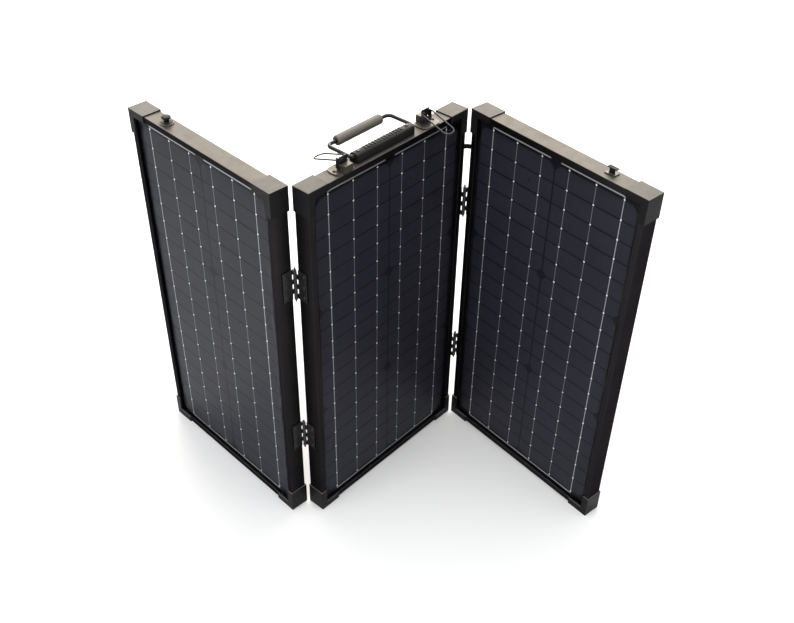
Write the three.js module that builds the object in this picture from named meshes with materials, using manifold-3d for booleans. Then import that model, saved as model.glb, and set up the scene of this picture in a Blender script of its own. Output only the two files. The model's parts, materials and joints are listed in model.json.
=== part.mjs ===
// A folding solar panel for camping: three framed glass panels joined by butt hinges into a
// zig-zag, with a swing handle and two toggle latches on the top rail of the middle panel.
// Millimetres, +Z up. Each panel is built in its own frame: X across its width, Y from its
// glass front to its back, Z from the floor up.
import * as THREE from 'three';
import { mergeVertices } from 'three/addons/utils/BufferGeometryUtils.js';
import Module from 'manifold-3d';

const wasm = await Module();
wasm.setup();

// Panels, over their corner caps
const PANEL_WIDTH = 352;
const PANEL_HEIGHT = 660;
const PANEL_DEPTH = 34;
const FIT_GAP = 0.3;
const RUNNING_GAP = 0.08;

// How far each outer panel is turned from lying flat beside the middle one
const LEFT_TURN_DEG = -93.5;
const RIGHT_TURN_DEG = -97.5;

// Frame rails: one extrusion with a front lip, a glass ledge and a back flange
const RAIL_INSET = 2;
const RAIL_DEPTH = PANEL_DEPTH - 2 * RAIL_INSET;
const RAIL_WALL = 1.8;
const LIP_WIDTH = 10;
const LIP_THICKNESS = 1.6;
const LEDGE_WIDTH = 9;
const LEDGE_THICKNESS = 1.4;
const FLANGE_WIDTH = 14;

// Corner caps
const CAP_WALL = RAIL_INSET - FIT_GAP;
const CAP_LEG_WIDTH = 41;
const CAP_LEG_HEIGHT = 42;
const CAP_FLANGE = RAIL_INSET + LIP_WIDTH;

// Glass, and the cells and backsheet laminated behind it
const GLASS_THICKNESS = 3.2;
const LAMINATE_THICKNESS = 0.9;
const POCKET_CLEARANCE = 0.7;
const GLASS_FRONT = RAIL_INSET + LIP_THICKNESS + FIT_GAP;
const LAMINATE_FRONT = GLASS_FRONT + GLASS_THICKNESS + FIT_GAP;
const LEDGE_FRONT = LAMINATE_FRONT + LAMINATE_THICKNESS + FIT_GAP;

// Junction boxes on the backsheets
const JUNCTION_WIDTH = 90;
const JUNCTION_HEIGHT = 60;
const JUNCTION_TRAY_DEPTH = 14;
const JUNCTION_LID_DEPTH = 4;
const JUNCTION_WALL = 2.5;
const JUNCTION_DROP = 75;

// Hinges
const JOINT_GAP = 5;
const PIVOT_STANDOFF = 0.8;
const HINGE_FROM_END = 172;
const KNUCKLE_COUNT = 6;
const KNUCKLE_PITCH = 9;
const KNUCKLE_RADIUS = 3;
const LEAF_THICKNESS = 1.6;
const LEAF_WIDTH = 18;
const LEAF_TO_PIVOT = 3.6;
const PIN_RADIUS = 1.5;
const PIN_LENGTH = 64;
const PIN_DOME = 0.6;
const ROUND_SEGMENTS = 16;

// Twin cable from the middle panel's junction box to the right panel's
const CORE_RADIUS = 2.1;
const CORE_OFFSET = 2.15;
const CORE_WAIST_DEG = 150;
const CABLE_DEPTH = 13;
const CABLE_HOLE_RADIUS = 2.5;
const CORE_SIDES = 8;
const CABLE_BEND_STEPS = 28;
const CABLE_BEND_REACH = 11;

// Handle
const HANDLE_CENTRE = 170;
const HANDLE_BASE_LENGTH = 124;
const HANDLE_BASE_WIDTH = 17;
const HANDLE_BASE_SKIN = 1.8;
const HANDLE_PIVOT_HEIGHT = 10.4;
const HANDLE_ARM = 50;
const ROD_RADIUS = 3;
const ROD_REACH = 67;
const ROD_INSERT = 6;
const ROD_SIDES = 12;
const ROD_BEND_STEPS = 7;
const GRIP_LENGTH = 96;
const GRIP_RADIUS = 8;

// Toggle latches
const LATCH_FROM_END = 82;
const LATCH_LENGTH = 40;
const LATCH_WIDTH = 28;
const LATCH_PLATE = 1.6;
const LATCH_END_ROUND = 9;
const LATCH_PIVOT_HEIGHT = 7;
const STOP_HALF_WIDTH = 8;
const STOP_START = 5.8;
const STOP_OVERHANG = 2;
const STOP_RISE = 6;
const EAR_INNER = 5.2;
const EAR_OUTER = 6.8;
const EAR_REACH = 2.6;
const LEVER_REST_DEG = 88;
const LEVER_REACH = 17;
const LEVER_HALF_WIDTH = 8.6;
const LEVER_SKIN = 1.3;
const LEVER_DROP = 3;
const LEVER_HUB = 2.6;
const LEVER_WEB_START = 4.5;
const LEVER_PIN_RADIUS = 1.3;
const LOOP_PIVOT_REACH = 12;
const LOOP_REST_DEG = 198.9;
const LOOP_HALF_WIDTH = 10.8;
const LOOP_WIRE_RADIUS = 1.2;
const WIRE_SIDES = 10;
const LOOP_CLEARANCE = 0.6;
const LOOP_END_PLAY = 0.8;

// Catches that the latch loops close on
const CATCH_POST_RADIUS = 3.6;
const CATCH_HEAD_RADIUS = 7.4;
const CATCH_BASE_RADIUS = 11.5;
const CATCH_HEAD_HEIGHT = 8.3;
const HOOK_HALF_WIDTH = 4;
const HOOK_LIP_HALF_WIDTH = 8.5;
const HOOK_FOOT_HALF_WIDTH = 9;
const HOOK_FOOT_FRONT = 4;
const HOOK_FRONT = 0.8;
const HOOK_PLATE = 1.5;

// Heights and depths that several pieces share
const RAIL_TOP = PANEL_HEIGHT - RAIL_INSET;
const MID_DEPTH = PANEL_DEPTH / 2;
const CABLE_HEIGHT = PANEL_HEIGHT - JUNCTION_DROP;
const CATCH_DISTANCE = PANEL_DEPTH + 2 * PIVOT_STANDOFF;
const LOOP_GRIP = CATCH_POST_RADIUS + LOOP_WIRE_RADIUS + LOOP_CLEARANCE;
const LOOP_LENGTH = LOOP_PIVOT_REACH + CATCH_DISTANCE + LOOP_GRIP;

const finishes = {
  anodised: { color: 0x26262a, roughness: 0.38, metalness: 0.85 },
  cap: { color: 0x1d1d20, roughness: 0.5, metalness: 0.0 },
  glass: { color: 0x20242c, roughness: 0.1, metalness: 0.0 },
  cells: { color: 0x22242c, roughness: 0.3, metalness: 0.0 },
  plastic: { color: 0x1a1a1c, roughness: 0.55, metalness: 0.0 },
  steel: { color: 0x2b2a2a, roughness: 0.35, metalness: 0.9 },
  wire: { color: 0x6f6e70, roughness: 0.3, metalness: 0.9 },
  plate: { color: 0x8d887c, roughness: 0.4, metalness: 0.8 },
  rubber: { color: 0x4b4742, roughness: 0.7, metalness: 0.0 },
  cable: { color: 0x161618, roughness: 0.6, metalness: 0.0 },
};

function piece(name, geometry, finish) {
  const mesh = new THREE.Mesh(geometry, new THREE.MeshStandardMaterial(finishes[finish]));
  mesh.name = name;
  return mesh;
}

function block(x0, x1, y0, y1, z0, z1) {
  const geometry = new THREE.BoxGeometry(x1 - x0, y1 - y0, z1 - z0);
  return geometry.translate((x0 + x1) / 2, (y0 + y1) / 2, (z0 + z1) / 2);
}

function solidOf(geometry) {
  const bare = geometry.clone();
  bare.deleteAttribute('normal');
  bare.deleteAttribute('uv');
  const merged = mergeVertices(bare, 1e-4);
  const vertProperties = new Float32Array(merged.attributes.position.array);
  const triVerts = new Uint32Array(merged.index.array);
  return new wasm.Manifold(new wasm.Mesh({ numProp: 3, vertProperties, triVerts }));
}

function geometryOf(solid) {
  const mesh = solid.getMesh();
  const geometry = new THREE.BufferGeometry();
  geometry.setAttribute('position', new THREE.BufferAttribute(new Float32Array(mesh.vertProperties), 3));
  geometry.setIndex(new THREE.BufferAttribute(new Uint32Array(mesh.triVerts), 1));
  return geometry;
}

function joined(geometries) {
  return geometries.map(solidOf).reduce((whole, part) => whole.add(part));
}

function cut(whole, tools) {
  return geometryOf(tools.map(solidOf).reduce((rest, tool) => rest.subtract(tool), whole));
}

function rodAlongX(radius, x0, x1, y, z, sides = ROUND_SEGMENTS) {
  const geometry = new THREE.CylinderGeometry(radius, radius, x1 - x0, sides);
  return geometry.rotateZ(Math.PI / 2).translate((x0 + x1) / 2, y, z);
}

function rodAlongZ(radius, z0, z1, x, y, sides = ROUND_SEGMENTS) {
  const geometry = new THREE.CylinderGeometry(radius, radius, z1 - z0, sides);
  return geometry.rotateX(Math.PI / 2).translate(x, y, (z0 + z1) / 2);
}

// A path straight from each point to the next, stepped point by point
class PointPath extends THREE.Curve {
  constructor(points) {
    super();
    this.points = points;
  }

  getPoint(t, target = new THREE.Vector3()) {
    const last = this.points.length - 1;
    const before = Math.min(Math.floor(t * last), last - 1);
    return target.lerpVectors(this.points[before], this.points[before + 1], t * last - before);
  }

  getUtoTmapping(u) {
    return u;
  }
}

// A section swept along a path, with one ring at each end of its straight runs and bendSteps to a bend
function swept(section, path, bendSteps) {
  const points = path.getPoints(bendSteps);
  return new THREE.ExtrudeGeometry(section, {
    steps: points.length - 1, bevelEnabled: false, extrudePath: new PointPath(points),
  });
}

function sweptRod(path, radius, sides, bendSteps) {
  const ring = [];
  for (let i = 0; i < sides; i += 1) {
    const angle = (2 * Math.PI * i) / sides;
    ring.push(new THREE.Vector2(radius * Math.cos(angle), radius * Math.sin(angle)));
  }
  return swept(new THREE.Shape(ring), path, bendSteps);
}

// The twin cable's section: two cores side by side, joined at a narrow waist
function twinSection() {
  const outline = [];
  for (const side of [1, -1]) {
    for (let i = 0; i < CORE_SIDES; i += 1) {
      const share = (2 * i) / (CORE_SIDES - 1) - 1;
      const angle = THREE.MathUtils.degToRad(CORE_WAIST_DEG * share);
      const x = CORE_OFFSET + CORE_RADIUS * Math.cos(angle);
      outline.push(new THREE.Vector2(side * x, side * CORE_RADIUS * Math.sin(angle)));
    }
  }
  return new THREE.Shape(outline);
}

// A path of straight runs through the corners given, with each inner corner rounded
function roundedPath(corners, radii) {
  const path = new THREE.CurvePath();
  let from = corners[0];
  for (let i = 1; i < corners.length - 1; i += 1) {
    const radius = radii[i - 1];
    const before = corners[i - 1].clone().sub(corners[i]).setLength(radius).add(corners[i]);
    const after = corners[i + 1].clone().sub(corners[i]).setLength(radius).add(corners[i]);
    path.add(new THREE.LineCurve3(from, before));
    path.add(new THREE.QuadraticBezierCurve3(before, corners[i], after));
    from = after;
  }
  path.add(new THREE.LineCurve3(from, corners[corners.length - 1]));
  return path;
}

// The rail's section, from its outer face inwards (x) and from its front backwards (y)
function railSection() {
  const ledge = LEDGE_FRONT - RAIL_INSET;
  const outline = [
    [0, 0],
    [LIP_WIDTH, 0],
    [LIP_WIDTH, LIP_THICKNESS],
    [RAIL_WALL, LIP_THICKNESS],
    [RAIL_WALL, ledge],
    [LEDGE_WIDTH, ledge],
    [LEDGE_WIDTH, ledge + LEDGE_THICKNESS],
    [RAIL_WALL, ledge + LEDGE_THICKNESS],
    [RAIL_WALL, RAIL_DEPTH - LIP_THICKNESS],
    [FLANGE_WIDTH, RAIL_DEPTH - LIP_THICKNESS],
    [FLANGE_WIDTH, RAIL_DEPTH],
    [0, RAIL_DEPTH],
  ];
  return new THREE.Shape(outline.map(([x, y]) => new THREE.Vector2(x, y)));
}

// One rail along Z, its ends mitred at 45 degrees with half a fitting gap at each
function railGeometry(length) {
  const geometry = new THREE.ExtrudeGeometry(railSection(), { depth: length, bevelEnabled: false });
  const position = geometry.attributes.position;
  for (let i = 0; i < position.count; i += 1) {
    const inset = position.getX(i) + FIT_GAP / 2;
    const atFoot = position.getZ(i) < length / 2;
    position.setZ(i, atFoot ? inset : length - inset);
  }
  return geometry;
}

function placedRail(length, turn, x, z) {
  return railGeometry(length).rotateY(turn).translate(x, RAIL_INSET, z);
}

// The long hole for the twin cable: two drillings and the slot between them
function cableHoleCut(geometry, x) {
  const x0 = x - LEDGE_WIDTH;
  const x1 = x + LEDGE_WIDTH;
  const r = CABLE_HOLE_RADIUS;
  const low = CABLE_HEIGHT - CORE_OFFSET;
  const high = CABLE_HEIGHT + CORE_OFFSET;
  const drills = [low, high].map((z) => rodAlongX(r, x0, x1, CABLE_DEPTH, z));
  const slot = block(x0, x1, CABLE_DEPTH - r, CABLE_DEPTH + r, low, high);
  return cut(solidOf(geometry), [...drills, slot]);
}

// The four rails of one panel; holeSide is -1 or 1 where a stile has the cable's hole, or 0
function frameRails(panel, holeSide) {
  const across = PANEL_WIDTH - 2 * RAIL_INSET;
  const upright = PANEL_HEIGHT - 2 * RAIL_INSET;
  const farX = PANEL_WIDTH - RAIL_INSET;
  const stiles = {
    start: placedRail(upright, 0, RAIL_INSET, RAIL_INSET),
    end: placedRail(upright, Math.PI, farX, RAIL_TOP),
  };
  if (holeSide < 0) stiles.start = cableHoleCut(stiles.start, RAIL_INSET);
  if (holeSide > 0) stiles.end = cableHoleCut(stiles.end, farX);
  return [
    piece(`${panel}_bottom_rail`, placedRail(across, -Math.PI / 2, farX, RAIL_INSET), 'anodised'),
    piece(`${panel}_top_rail`, placedRail(across, Math.PI / 2, RAIL_INSET, RAIL_TOP), 'anodised'),
    piece(`${panel}_left_stile`, stiles.start, 'anodised'),
    piece(`${panel}_right_stile`, stiles.end, 'anodised'),
  ];
}

// A corner cap: a shell over the two rail ends, open over the glass and the back
function cornerCap(name, atRight, atTop) {
  const shell = solidOf(block(0, CAP_LEG_WIDTH, 0, PANEL_DEPTH, 0, CAP_LEG_HEIGHT));
  const room = block(
    CAP_WALL, CAP_LEG_WIDTH + 1, CAP_WALL, PANEL_DEPTH - CAP_WALL, CAP_WALL, CAP_LEG_HEIGHT + 1,
  );
  const window = block(CAP_FLANGE, CAP_LEG_WIDTH + 1, -1, PANEL_DEPTH + 1, CAP_FLANGE, CAP_LEG_HEIGHT + 1);
  let geometry = cut(shell, [room, window]);
  if (atRight && atTop) geometry.rotateY(Math.PI);
  if (atRight !== atTop) {
    geometry = mirrored(geometry, atRight ? 'x' : 'z');
  }
  geometry.translate(atRight ? PANEL_WIDTH : 0, 0, atTop ? PANEL_HEIGHT : 0);
  return piece(name, geometry, 'cap');
}

// The same shape reflected along x or z, with its faces still pointing out
function mirrored(geometry, axis) {
  const scale = { x: axis === 'x' ? -1 : 1, z: axis === 'z' ? -1 : 1 };
  geometry.scale(scale.x, 1, scale.z);
  const index = geometry.index;
  for (let i = 0; i < index.count; i += 3) {
    const first = index.getX(i);
    index.setX(i, index.getX(i + 1));
    index.setX(i + 1, first);
  }
  return geometry;
}

function cornerCaps(panel) {
  return [
    cornerCap(`${panel}_cap_bottom_left`, false, false),
    cornerCap(`${panel}_cap_bottom_right`, true, false),
    cornerCap(`${panel}_cap_top_left`, false, true),
    cornerCap(`${panel}_cap_top_right`, true, true),
  ];
}

function pane(name, front, thickness, finish) {
  const margin = RAIL_INSET + RAIL_WALL + POCKET_CLEARANCE;
  const geometry = block(
    margin, PANEL_WIDTH - margin, front, front + thickness, margin, PANEL_HEIGHT - margin,
  );
  return piece(name, geometry, finish);
}

// The junction box: a tray on the backsheet, open at the back, and its lid
function junctionBox(panel) {
  const x0 = (PANEL_WIDTH - JUNCTION_WIDTH) / 2;
  const x1 = x0 + JUNCTION_WIDTH;
  const z0 = CABLE_HEIGHT - JUNCTION_HEIGHT / 2;
  const z1 = z0 + JUNCTION_HEIGHT;
  const front = LEDGE_FRONT;
  const rim = front + JUNCTION_TRAY_DEPTH;
  const wall = JUNCTION_WALL;
  const tray = solidOf(block(x0, x1, front, rim, z0, z1));
  const room = block(x0 + wall, x1 - wall, front + wall, rim + 1, z0 + wall, z1 - wall);
  const lidFront = rim + FIT_GAP;
  return [
    piece(`${panel}_junction_box`, cut(tray, [room]), 'plastic'),
    piece(`${panel}_junction_lid`, block(x0, x1, lidFront, lidFront + JUNCTION_LID_DEPTH, z0, z1), 'plastic'),
  ];
}

function panelPieces(panel, holeSide) {
  return [
    ...frameRails(panel, holeSide),
    ...cornerCaps(panel),
    pane(`${panel}_glass`, GLASS_FRONT, GLASS_THICKNESS, 'glass'),
    pane(`${panel}_cell_laminate`, LAMINATE_FRONT, LAMINATE_THICKNESS, 'cells'),
    ...junctionBox(panel),
  ];
}

// One hinge leaf about a pivot on the Z axis. The leaf's plate lies along -Y on the +X side,
// and it carries every other knuckle, from the first or the second.
function hingeLeaf(firstKnuckle) {
  const height = KNUCKLE_COUNT * KNUCKLE_PITCH;
  const outer = JOINT_GAP / 2 + RAIL_INSET - FIT_GAP;
  const inner = outer - LEAF_THICKNESS;
  const parts = [block(inner, outer, -LEAF_TO_PIVOT - LEAF_WIDTH, -LEAF_TO_PIVOT, -height / 2, height / 2)];
  const bores = [];
  for (let i = firstKnuckle; i < KNUCKLE_COUNT; i += 2) {
    const z0 = -height / 2 + i * KNUCKLE_PITCH + FIT_GAP / 2;
    const z1 = z0 + KNUCKLE_PITCH - FIT_GAP;
    parts.push(rodAlongZ(KNUCKLE_RADIUS, z0, z1, 0, 0));
    parts.push(block(0, outer, -PIN_RADIUS, PIN_RADIUS / 2, z0, z1));
    parts.push(block(inner, outer, -LEAF_TO_PIVOT - 1, PIN_RADIUS / 2, z0, z1));
    bores.push(rodAlongZ(PIN_RADIUS + RUNNING_GAP, z0 - 1, z1 + 1, 0, 0));
  }
  return cut(joined(parts), bores);
}

function hingePin() {
  const half = PIN_LENGTH / 2;
  const dome = PIN_DOME;
  const profile = [
    new THREE.Vector2(0, -half),
    new THREE.Vector2(PIN_RADIUS - dome, -half),
    new THREE.Vector2(PIN_RADIUS, -half + dome),
    new THREE.Vector2(PIN_RADIUS, half - dome),
    new THREE.Vector2(PIN_RADIUS - dome, half),
    new THREE.Vector2(0, half),
  ];
  return new THREE.LatheGeometry(profile, ROUND_SEGMENTS).rotateX(Math.PI / 2);
}

// Two hinges on one joint: the middle panel's leaves and the pins, then the outer panel's leaves
function hingePair(side) {
  const fixed = [];
  const moving = [];
  const levels = { lower: HINGE_FROM_END, upper: PANEL_HEIGHT - HINGE_FROM_END };
  for (const [level, height] of Object.entries(levels)) {
    const name = `${side}_${level}_hinge`;
    fixed.push(piece(`${name}_middle_leaf`, hingeLeaf(0).translate(0, 0, height), 'steel'));
    fixed.push(piece(`${name}_pin`, hingePin().translate(0, 0, height), 'steel'));
    const leaf = mirrored(hingeLeaf(1), 'x').translate(0, 0, height);
    moving.push(piece(`${name}_outer_leaf`, leaf, 'steel'));
  }
  return { fixed, moving };
}

// The cable's way: out of one junction box, through both stiles round the joint, into the other
function linkCable(rightPivot) {
  const turn = THREE.MathUtils.degToRad(RIGHT_TURN_DEG);
  const boxEdge = (PANEL_WIDTH + JUNCTION_WIDTH) / 2 + FIT_GAP;
  const stile = PANEL_WIDTH - RAIL_INSET;
  const here = (x) => new THREE.Vector3(x, CABLE_DEPTH, CABLE_HEIGHT);
  const there = (x) => {
    const flat = new THREE.Vector3(2 * rightPivot.x - x, CABLE_DEPTH, CABLE_HEIGHT);
    return flat.sub(rightPivot).applyAxisAngle(new THREE.Vector3(0, 0, 1), turn).add(rightPivot);
  };
  const bendHandle = CABLE_BEND_REACH;
  const path = new THREE.CurvePath();
  path.add(new THREE.LineCurve3(here(boxEdge), here(stile)));
  path.add(new THREE.CubicBezierCurve3(
    here(stile), here(stile + bendHandle), there(stile + bendHandle), there(stile),
  ));
  path.add(new THREE.LineCurve3(there(stile), there(boxEdge)));
  return piece('link_cable', swept(twinSection(), path, CABLE_BEND_STEPS), 'cable');
}

// The handle's base: a bar with a domed top, bored at both ends for the bail
function handleBase() {
  const half = HANDLE_BASE_WIDTH / 2;
  const top = HANDLE_PIVOT_HEIGHT + ROD_RADIUS + HANDLE_BASE_SKIN;
  const shoulder = top - half * 0.75;
  const outline = new THREE.Shape();
  outline.moveTo(-half, FIT_GAP);
  outline.lineTo(half, FIT_GAP);
  outline.lineTo(half, shoulder);
  outline.quadraticCurveTo(half, top, 0, top);
  outline.quadraticCurveTo(-half, top, -half, shoulder);
  outline.closePath();
  const bar = new THREE.ExtrudeGeometry(outline, {
    depth: HANDLE_BASE_LENGTH, bevelEnabled: false, curveSegments: 6,
  });
  bar.rotateX(Math.PI / 2).rotateZ(Math.PI / 2);
  bar.translate(-HANDLE_BASE_LENGTH / 2, 0, 0);
  const end = HANDLE_BASE_LENGTH / 2;
  const depth = ROD_INSERT + 2;
  const radius = ROD_RADIUS + RUNNING_GAP;
  const bores = [
    rodAlongX(radius, -end - 1, -end + depth, 0, HANDLE_PIVOT_HEIGHT),
    rodAlongX(radius, end - depth, end + 1, 0, HANDLE_PIVOT_HEIGHT),
  ];
  return cut(solidOf(bar), bores);
}

// The bail: one bent rod whose ends turn in to the base
function handleBail() {
  const insert = HANDLE_BASE_LENGTH / 2 - ROD_INSERT;
  const corners = [
    [-insert, 0], [-ROD_REACH, 0], [-ROD_REACH, HANDLE_ARM],
    [ROD_REACH, HANDLE_ARM], [ROD_REACH, 0], [insert, 0],
  ].map(([x, y]) => new THREE.Vector3(x, y, HANDLE_PIVOT_HEIGHT));
  return sweptRod(roundedPath(corners, [5, 9, 9, 5]), ROD_RADIUS, ROD_SIDES, ROD_BEND_STEPS);
}

function handleGrip() {
  const half = GRIP_LENGTH / 2;
  const bore = ROD_RADIUS + RUNNING_GAP;
  const edge = 1.5;
  const profile = [
    new THREE.Vector2(bore, -half),
    new THREE.Vector2(GRIP_RADIUS - edge, -half),
    new THREE.Vector2(GRIP_RADIUS, -half + edge),
    new THREE.Vector2(GRIP_RADIUS, half - edge),
    new THREE.Vector2(GRIP_RADIUS - edge, half),
    new THREE.Vector2(bore, half),
    new THREE.Vector2(bore, -half),
  ];
  const grip = new THREE.LatheGeometry(profile, ROUND_SEGMENTS).rotateZ(Math.PI / 2);
  return grip.translate(0, HANDLE_ARM, HANDLE_PIVOT_HEIGHT);
}

function handlePieces() {
  const place = (geometry) => geometry.translate(HANDLE_CENTRE, MID_DEPTH, RAIL_TOP);
  return [
    piece('handle_base', place(handleBase()), 'plastic'),
    piece('handle_bail', place(handleBail()), 'steel'),
    piece('handle_grip', place(handleGrip()), 'rubber'),
  ];
}

// A latch is drawn with its catch towards +Y and the rail's top at z = 0.
// Its base: a plate with round ends, a stop block, and two ears that hold the lever's pin
function latchBase() {
  const half = LATCH_LENGTH / 2;
  const depth = LATCH_WIDTH / 2;
  const corner = LATCH_END_ROUND;
  const outline = new THREE.Shape();
  outline.moveTo(-half + corner, -depth);
  outline.lineTo(half - corner, -depth);
  outline.quadraticCurveTo(half, -depth, half, 0);
  outline.quadraticCurveTo(half, depth, half - corner, depth);
  outline.lineTo(-half + corner, depth);
  outline.quadraticCurveTo(-half, depth, -half, 0);
  outline.quadraticCurveTo(-half, -depth, -half + corner, -depth);
  const plate = new THREE.ExtrudeGeometry(outline, {
    depth: LATCH_PLATE, bevelEnabled: false, curveSegments: 6,
  });
  plate.translate(0, 0, FIT_GAP);
  const plateTop = LATCH_PLATE + FIT_GAP;
  const stop = STOP_HALF_WIDTH;
  const parts = [
    plate,
    block(-stop, stop, STOP_START, depth + STOP_OVERHANG, plateTop - 1, LATCH_PIVOT_HEIGHT + STOP_RISE),
  ];
  for (const side of [-1, 1]) {
    const x0 = Math.min(side * EAR_INNER, side * EAR_OUTER);
    const x1 = Math.max(side * EAR_INNER, side * EAR_OUTER);
    parts.push(block(x0, x1, -EAR_REACH, STOP_START + 1, plateTop - 1, LATCH_PIVOT_HEIGHT + EAR_REACH));
  }
  const reach = EAR_OUTER + 1;
  const bore = rodAlongX(LEVER_PIN_RADIUS + RUNNING_GAP, -reach, reach, 0, LATCH_PIVOT_HEIGHT, 12);
  return cut(joined(parts), [bore]);
}

// The lever, drawn lying towards +Y from its pin at the origin: a channel open to +Z
function latchLever() {
  const half = LEVER_HALF_WIDTH;
  const skin = LEVER_SKIN;
  const floor = -LEVER_DROP;
  const hub = LEVER_HUB;
  const parts = [
    block(-half, half, LEVER_WEB_START, LEVER_REACH, floor - skin, floor),
    rodAlongX(LEVER_PIN_RADIUS, -half + skin / 2, half - skin / 2, 0, 0, 12),
  ];
  for (const side of [-1, 1]) {
    const x0 = Math.min(side * half, side * (half - skin));
    parts.push(block(x0, x0 + skin, -hub, LEVER_REACH - hub, floor - skin, hub));
  }
  const bore = rodAlongX(LOOP_WIRE_RADIUS + RUNNING_GAP, -half - 1, half + 1, LOOP_PIVOT_REACH, 0, 12);
  return cut(joined(parts), [bore]);
}

// The wire loop, drawn lying towards +Y from its two inturned ends
function latchLoop() {
  const end = LEVER_HALF_WIDTH - LEVER_SKIN - LOOP_END_PLAY;
  const corners = [
    [-end, 0], [-LOOP_HALF_WIDTH, 0], [-LOOP_HALF_WIDTH, LOOP_LENGTH],
    [LOOP_HALF_WIDTH, LOOP_LENGTH], [LOOP_HALF_WIDTH, 0], [end, 0],
  ].map(([x, y]) => new THREE.Vector3(x, y, 0));
  return sweptRod(roundedPath(corners, [1.9, 9, 9, 1.9]), LOOP_WIRE_RADIUS, WIRE_SIDES, ROD_BEND_STEPS);
}

// The three pieces of one latch, on the middle panel's top rail, with its catch behind or in front
function latchPieces(name, x, catchBehind) {
  const leverTurn = THREE.MathUtils.degToRad(LEVER_REST_DEG);
  const lever = latchLever().rotateX(leverTurn).translate(0, 0, LATCH_PIVOT_HEIGHT);
  const pivotY = LOOP_PIVOT_REACH * Math.cos(leverTurn);
  const pivotZ = LATCH_PIVOT_HEIGHT + LOOP_PIVOT_REACH * Math.sin(leverTurn);
  const loop = latchLoop().rotateX(THREE.MathUtils.degToRad(LOOP_REST_DEG)).translate(0, pivotY, pivotZ);
  const place = (geometry) => {
    if (!catchBehind) geometry.rotateZ(Math.PI);
    return geometry.translate(x, MID_DEPTH, RAIL_TOP);
  };
  return [
    piece(`${name}_base`, place(latchBase()), 'plate'),
    piece(`${name}_lever`, place(lever), 'plastic'),
    piece(`${name}_loop`, place(loop), 'wire'),
  ];
}

// The left panel's catch: a round knob on a disc
function knobCatch(x) {
  const profile = [
    new THREE.Vector2(0, FIT_GAP),
    new THREE.Vector2(CATCH_BASE_RADIUS, FIT_GAP),
    new THREE.Vector2(CATCH_BASE_RADIUS, FIT_GAP + 1.2),
    new THREE.Vector2(CATCH_POST_RADIUS, FIT_GAP + 2.2),
    new THREE.Vector2(CATCH_POST_RADIUS, CATCH_HEAD_HEIGHT),
    new THREE.Vector2(CATCH_HEAD_RADIUS, CATCH_HEAD_HEIGHT + 0.8),
    new THREE.Vector2(CATCH_HEAD_RADIUS, CATCH_HEAD_HEIGHT + 3),
    new THREE.Vector2(CATCH_HEAD_RADIUS - 1.2, CATCH_HEAD_HEIGHT + 4),
    new THREE.Vector2(0, CATCH_HEAD_HEIGHT + 4),
  ];
  const knob = new THREE.LatheGeometry(profile, ROUND_SEGMENTS).rotateX(Math.PI / 2);
  return piece('left_catch', knob.translate(x, MID_DEPTH, RAIL_TOP), 'plastic');
}

// The right panel's catch: a plate with an upright and a lip that the loop pulls against
function hookCatch(x) {
  const half = HOOK_HALF_WIDTH;
  const lip = HOOK_LIP_HALF_WIDTH;
  const foot = HOOK_FOOT_HALF_WIDTH;
  const plateTop = FIT_GAP + HOOK_PLATE;
  const top = CATCH_HEAD_HEIGHT + HOOK_PLATE;
  const parts = [
    block(-foot, foot, -HOOK_FOOT_FRONT, foot, FIT_GAP, plateTop),
    block(-half, half, HOOK_FRONT, CATCH_POST_RADIUS, plateTop - 1, top),
    block(-lip, lip, HOOK_FRONT, CATCH_HEAD_RADIUS, CATCH_HEAD_HEIGHT, top),
  ];
  const hook = geometryOf(joined(parts));
  return piece('right_catch', hook.translate(x, MID_DEPTH, RAIL_TOP), 'plastic');
}

// Turns pieces built flat beside the middle panel about a joint's upright axis
function turnedAbout(pivot, degrees, pieces) {
  const turned = new THREE.Group();
  turned.position.copy(pivot);
  turned.rotation.z = THREE.MathUtils.degToRad(degrees);
  const held = new THREE.Group();
  held.position.copy(pivot).negate();
  turned.add(held);
  pieces.forEach((part) => held.add(part));
  return turned;
}

function shifted(pieces, x, y, turn = 0) {
  const group = new THREE.Group();
  group.position.set(x, y, 0);
  group.rotation.z = turn;
  pieces.forEach((part) => group.add(part));
  return group;
}

function foldingPanel() {
  const leftPivot = new THREE.Vector3(-JOINT_GAP / 2, PANEL_DEPTH + PIVOT_STANDOFF, 0);
  const rightPivot = new THREE.Vector3(PANEL_WIDTH + JOINT_GAP / 2, -PIVOT_STANDOFF, 0);
  const leftHinges = hingePair('left');
  const rightHinges = hingePair('right');
  const pitch = PANEL_WIDTH + JOINT_GAP;
  const whole = new THREE.Group();

  whole.add(...panelPieces('middle', 1));
  whole.add(...handlePieces());
  whole.add(...latchPieces('near_latch', LATCH_FROM_END, false));
  whole.add(...latchPieces('far_latch', PANEL_WIDTH - LATCH_FROM_END, true));
  whole.add(shifted(leftHinges.fixed, leftPivot.x, leftPivot.y));
  whole.add(shifted(rightHinges.fixed, rightPivot.x, rightPivot.y, Math.PI));
  whole.add(linkCable(rightPivot));

  whole.add(turnedAbout(leftPivot, LEFT_TURN_DEG, [
    shifted([...panelPieces('left', 0), knobCatch(LATCH_FROM_END)], -pitch, 0),
    shifted(leftHinges.moving, leftPivot.x, leftPivot.y),
  ]));
  whole.add(turnedAbout(rightPivot, RIGHT_TURN_DEG, [
    shifted([...panelPieces('right', -1), hookCatch(PANEL_WIDTH - LATCH_FROM_END)], pitch, 0),
    shifted(rightHinges.moving, rightPivot.x, rightPivot.y, Math.PI),
  ]));

  // The origin is on the floor, under the middle of the whole object
  whole.updateMatrixWorld(true);
  const box = new THREE.Box3().setFromObject(whole, true);
  const centre = box.getCenter(new THREE.Vector3());
  whole.position.set(-centre.x, -centre.y, -box.min.z);
  return whole;
}

export default foldingPanel();
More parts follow.
